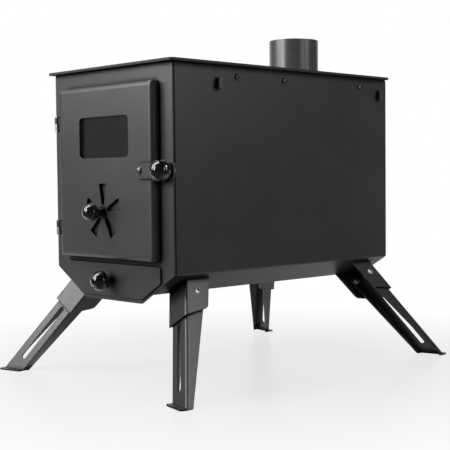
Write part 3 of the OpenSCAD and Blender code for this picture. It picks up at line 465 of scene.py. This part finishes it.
def ballKnob(name, node, body, spec):
    # a turned profile: ball, faint parting line, small hollow where it meets the neck, turned foot
    low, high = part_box(node)
    radius = (high.x - low.x) / 2
    centre = Vector(((low.x + high.x) / 2, low.y + radius, (low.z + high.z) / 2))
    back = high.y - centre.y
    neck, hollow = spec["neck"], spec["hollow"]
    meet = math.degrees(math.asin((neck + hollow) / radius))
    profile = []
    for i in range(1, spec["steps"] + 1):
        a = math.radians((180 - meet) * i / spec["steps"])
        seam = spec["seam"] * math.exp(-((math.degrees(a) - 90) / spec["seamWidth"]) ** 2)
        profile.append(((radius + seam) * math.sin(a), -(radius + seam) * math.cos(a)))
    foot = profile[-1][1] + hollow
    profile += [(neck + 0.00025, foot - 0.0002), (neck, foot + 0.0003), (neck, back - 0.0005),
                (neck - 0.0004, back - 0.0001), (neck - spec["edge"], back)]
    turns = [2 * math.pi * k / spec["around"] for k in range(spec["around"])]
    loops = [[centre + Vector((r * math.cos(a), y, r * math.sin(a))) for a in turns] for r, y in profile]
    points, faces = tube(loops, False)
    knob = newPiece(name, points, faces, knobBlack, body)
    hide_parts(node)


for name, (node, body) in knobBodies.items():
    ballKnob(name, node, body, knobSpec)
print("ball knobs turned")


def arc(centre, radius, start, end, steps):
    turns = [math.radians(start + (end - start) * i / steps) for i in range(steps + 1)]
    return [(centre[0] + radius * math.cos(a), centre[1] + radius * math.sin(a)) for a in turns]


def roundedLoop(x0, z0, x1, z1, radius, step):
    # round a rectangle with round corners: evenly spaced points, outward directions, ways run, whole way
    corners = [((x1 - radius, z0 + radius), -90), ((x1 - radius, z1 - radius), 0),
               ((x0 + radius, z1 - radius), 90), ((x0 + radius, z0 + radius), 180)]
    rough = []
    for centre, start in corners:
        rough += arc(centre, radius, start, start + 90, 24)
    rough.append(rough[0])
    rough = np.array(rough)
    reach = np.concatenate([[0], np.cumsum(np.linalg.norm(np.diff(rough, axis=0), axis=1))])
    at = np.linspace(0, reach[-1], int(reach[-1] / step), endpoint=False)
    even = np.stack([np.interp(at, reach, rough[:, i]) for i in range(2)], 1)
    ahead = np.roll(even, -1, 0) - np.roll(even, 1, 0)
    ahead /= np.linalg.norm(ahead, axis=1)[:, None]
    return even, np.stack([ahead[:, 1], -ahead[:, 0]], 1), at, reach[-1]


def sealLoop(node, spec):
    # what roundedLoop gives for the middle of a seal, then half its depth and where it lies along Y
    low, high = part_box(node)
    half = spec["width"] / 2
    loop = roundedLoop(low.x + half, low.z + half, high.x - half, high.z - half, spec["corner"], spec["step"])
    return *loop, (high.y - low.y) / 2, (low.y + high.y) / 2


ropeSpec = {"width": 0.007, "corner": 0.005, "step": 0.0008, "around": 32,
            "pitch": 0.0095, "strands": 8, "relief": 0.00055}


def doorRope(spec):
    # braided rope pressed into the door: two sets of strands crossing over and under
    line, outward, at, total, halfDepth, middle = sealLoop("door_seal", spec)
    halfWidth = spec["width"] / 2
    turns = round(total / spec["pitch"])
    loops = []
    for p, out, s in zip(line, outward, at):
        run = 2 * math.pi * turns * s / total
        loop = []
        for k in range(spec["around"]):
            a = 2 * math.pi * k / spec["around"]
            left = math.sin(a * spec["strands"] / 2 + run * 2)
            right = math.sin(a * spec["strands"] / 2 - run * 2)
            over = max(left, right) - 0.35 * min(left, right)
            grow = 1 - (spec["relief"] * (1 - over)) / halfWidth
            square = (abs(math.cos(a)) ** 3 + abs(math.sin(a)) ** 3) ** (-1 / 3)
            wide, deep = halfWidth * square * math.cos(a) * grow, halfDepth * square * math.sin(a) * grow
            loop.append((p[0] + out[0] * wide, middle + deep, p[1] + out[1] * wide))
        loops.append(loop)
    points, faces = tube(loops, True)
    rope = newPiece("doorRope", points, faces, sealFibre, "door")
    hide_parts("door_seal")


tapeSpec = {"width": 0.0045, "corner": 0.003, "step": 0.0005, "around": 20, "weave": 0.05}


def windowTape(spec):
    # woven tape between glass and door: flat, with pressed round edges and a fine cross weave
    line, outward, *_, halfDepth, middle = sealLoop("window_seal", spec)
    loops = []
    for i, (p, out) in enumerate(zip(line, outward)):
        loop = []
        for k in range(spec["around"]):
            a = 2 * math.pi * k / spec["around"]
            weave = 1 - spec["weave"] * ((i + k // 2) % 2)
            wide = spec["width"] / 2 * math.copysign(abs(math.cos(a)) ** 0.5, math.cos(a)) * 0.98
            deep = halfDepth * math.copysign(abs(math.sin(a)) ** 0.6, math.sin(a)) * weave
            loop.append((p[0] + out[0] * wide, middle + deep, p[1] + out[1] * wide))
        loops.append(loop)
    points, faces = tube(loops, True)
    tape = newPiece("windowTape", points, faces, sealFibre, "door")
    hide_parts("window_seal")


doorRope(ropeSpec)
windowTape(tapeSpec)
print("seals laid")


beadSpec = {"around": 720, "across": 8,  # points round it and over it
            "fill": 0.9, "round": 0.8,  # how much of the CAD fillet it fills, and how full its curve is
            "ripples": 150, "ripple": 0.09, "drifts": 7, "drift": 0.03, "inset": 0.0004, "sunk": 0.0002}


def collarBead(spec):
    # the weld round the collar's foot: a fillet whose ripples follow one another round
    low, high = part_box("collar_weld")
    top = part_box("top_plate")[1].z
    centre = Vector(((low.x + high.x) / 2, (low.y + high.y) / 2, top))
    leg = high.z - top
    inner = (high.x - low.x) / 2 - leg
    root = inner - spec["inset"]
    loops = []
    for i in range(spec["around"]):
        a = 2 * math.pi * i / spec["around"]
        ripple = spec["ripple"] * math.sin(a * spec["ripples"]) + spec["drift"] * math.sin(a * spec["drifts"])
        size = leg * spec["fill"] * (1 + ripple)
        loop = [centre + Vector((root * math.cos(a), root * math.sin(a), -spec["sunk"]))]
        for k in range(spec["across"] + 1):
            turn = math.pi / 2 * k / spec["across"]
            r = inner + size * math.cos(turn) ** spec["round"]
            z = size * math.sin(turn) ** spec["round"]
            loop.append(centre + Vector((r * math.cos(a), r * math.sin(a), z)))
        loops.append(loop)
    points, faces = tube(loops, True)
    ring = newPiece("collarBead", points, faces, collarCoat, "firebox")
    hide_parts("collar_weld")


collarBead(beadSpec)
print("weld laid")


stageSpec = {
    "floor": (0.36, 0.364, 0.372), "size": 30, "gloss": 0.26,
    "lift": 0.72, "fadeFrom": 0.2, "fadeTo": 0.62,  # how white the camera sees it, fully so from fadeTo on
    # how white the stove's gloss shows it: all over, beside the stove, far behind it, and at its front left
    "mirror": 0.06, "mirrorNear": 0.6, "mirrorFar": 0.6, "mirrorLeft": 1.2,
    "nearTo": (0.3, 0.95), "farTo": (-0.72, 0.69),  # the ways in which the floor grows whiter
    "dim": 0.9, "dimTone": (0.02, 0.02, 0.02),  # and how dark it shows it in front
}


def stageSet(spec):
    # a pale sheet that the camera sees lifted towards white, fully so away from the stove
    f = Finish("floorSheet", specularLevel=0.2)
    cloud = f.noise(0.8, 3)
    f.set(baseColor=f.mix(cloud, spec["floor"], tuple(c * 0.985 for c in spec["floor"])))
    f.set(roughness=cloud * 0.05 + spec["gloss"])
    camera, glossy, through = (f.node("LightPath", out=ray) for ray in
                               ("Is Camera Ray", "Is Glossy Ray", "Is Transmission Ray"))
    x, y = f.place.part(0), f.place.part(1)
    radius = (x * x + y * y).curve("SQRT")
    beside, behind = (x * spec[k][0] + y * spec[k][1] for k in ("nearTo", "farTo"))
    near = beside.limit(-0.3, 0.35) * (0.55 - radius).limit(0.0, 0.2)
    far = behind.limit(0.2, 0.7)
    left = (0 - x).limit(0.0, 0.15) * (y + 0.44).limit(0.0, 0.08) * (0 - y).limit(0.12, 0.2)
    shine = glossy * (near * spec["mirrorNear"] + far * spec["mirrorFar"] + left * spec["mirrorLeft"]
                      + spec["mirror"])
    front = (0 - y).limit(0.15, 0.25).curve("MAXIMUM", radius.limit(0.3, 0.6))
    dim = glossy * (front * (1 - far) * (1 - left) * spec["dim"])
    seen = camera.curve("MAXIMUM", through) + shine
    lift = radius.limit(spec["fadeFrom"], spec["fadeTo"]) * (1 - spec["lift"]) + spec["lift"]
    glow = f.node("Emission", None, {"Color": (1, 1, 1)})
    dark = f.node("BsdfDiffuse", None, {"Color": spec["dimTone"]})
    shade = f.node("MixShader", None, {0: dim, 1: f.skin, 2: dark})
    f.show(f.node("MixShader", None, {0: seen * lift, 1: shade, 2: glow}))
    s = spec["size"] / 2
    mesh = bpy.data.meshes.new("floor")
    mesh.from_pydata([(-s, -s, 0), (s, -s, 0), (s, s, 0), (-s, s, 0)], [], [(0, 1, 2, 3)])
    floor = bpy.data.objects.new("floor", mesh)
    mesh.materials.append(f.material)
    bpy.context.scene.collection.objects.link(floor)


lampSpecs = {
    "keyBox": {"place": (-0.56, -0.85, 1.21), "aim": (-0.07, -0.17, 0.31), "size": (0.7, 1.9), "watts": 22},
    "frontStrip": {"place": (-0.33, -1.75, 0.85), "aim": (0, -0.2, 0.32), "size": (0.3, 1.0), "watts": 11},
    "rightBox": {"place": (1.6, -0.05, 0.68), "aim": (0.1, -0.05, 0.35), "size": (0.2, 0.8), "watts": 1.4},
    "sideBox": {"place": (1.3, 0.5, 0.8), "aim": (0.1, -0.1, 0.35), "size": (0.3, 0.8), "watts": 1.7},
    "rearBox": {"place": (1.1, 0.72, 1.2), "aim": (0.1, 0, 0.25), "size": (0.4, 0.4), "watts": 4.5},
}


def softLight(name, spec):
    lamp = bpy.data.lights.new(name, "AREA")
    lamp.shape = "RECTANGLE"
    lamp.size, lamp.size_y = spec["size"]
    lamp.energy = spec["watts"]
    holder = bpy.data.objects.new(name, lamp)
    bpy.context.scene.collection.objects.link(holder)
    holder.location = spec["place"]
    holder.rotation_mode = "QUATERNION"
    holder.rotation_quaternion = (Vector(spec["aim"]) - holder.location).to_track_quat("-Z", "Y")


worldSpec = {"soft": 0.05, "sheetSoft": 0.2,  # light on the stove, from all round and from the backdrop
             "mirror": 0.05, "sheet": 0.95,  # the same, as its glossy metal shows it
             "sheetTo": (-0.72, 0.69, 0.1), "sheetFrom": 0.66, "sheetFull": 0.9}


def worldSet(spec):
    # a dim studio with one white sheet of backdrop; the camera and the glass see white all round
    world = bpy.data.worlds.new("studio")
    bpy.context.scene.world = world
    world.use_nodes = True
    g = Graph(world.node_tree, "OutputWorld")
    camera, glossy, through = (g.node("LightPath", out=ray) for ray in
                               ("Is Camera Ray", "Is Glossy Ray", "Is Transmission Ray"))
    way = g.node("TexCoord", out="Generated")
    towards = sum(way.part(i) * c for i, c in enumerate(spec["sheetTo"]))
    sheet = towards.limit(spec["sheetFrom"], spec["sheetFull"])
    soft = sheet * spec["sheetSoft"] + spec["soft"]
    mirror = sheet * spec["sheet"] + spec["mirror"]
    white = camera.curve("MAXIMUM", through)
    strength = white + (1 - white) * (glossy * mirror + (1 - glossy) * soft)
    g.show(g.node("Background", None, {"Color": (1, 1, 1), "Strength": strength}))


cameraSpec = {"place": (1.01604, -0.98487, 0.25207), "turn": 46.08, "down": 2.63, "roll": -0.57,
              "lens": 83.16, "sensor": 36, "near": 0.05, "far": 60}


def cameraSet(spec):
    turn, down, roll = (math.radians(spec[k]) for k in ("turn", "down", "roll"))
    ahead = Vector((-math.sin(turn) * math.cos(down), math.cos(turn) * math.cos(down), -math.sin(down)))
    right = Vector((math.cos(turn), math.sin(turn), 0))
    up = right.cross(ahead)
    rolledRight = right * math.cos(roll) + up * math.sin(roll)
    rolledUp = up * math.cos(roll) - right * math.sin(roll)
    basis = Matrix((rolledRight, rolledUp, -ahead)).transposed()
    lens = bpy.data.cameras.new("camera")
    lens.lens, lens.sensor_width = spec["lens"], spec["sensor"]
    lens.clip_start, lens.clip_end = spec["near"], spec["far"]
    camera = bpy.data.objects.new("camera", lens)
    camera.matrix_world = Matrix.Translation(spec["place"]) @ basis.to_4x4()
    bpy.context.scene.collection.objects.link(camera)
    bpy.context.scene.camera = camera


stageSet(stageSpec)
for name, spec in lampSpecs.items():
    softLight(name, spec)
worldSet(worldSpec)
cameraSet(cameraSpec)
bpy.context.scene.view_settings.view_transform = "Standard"
print("stage set")
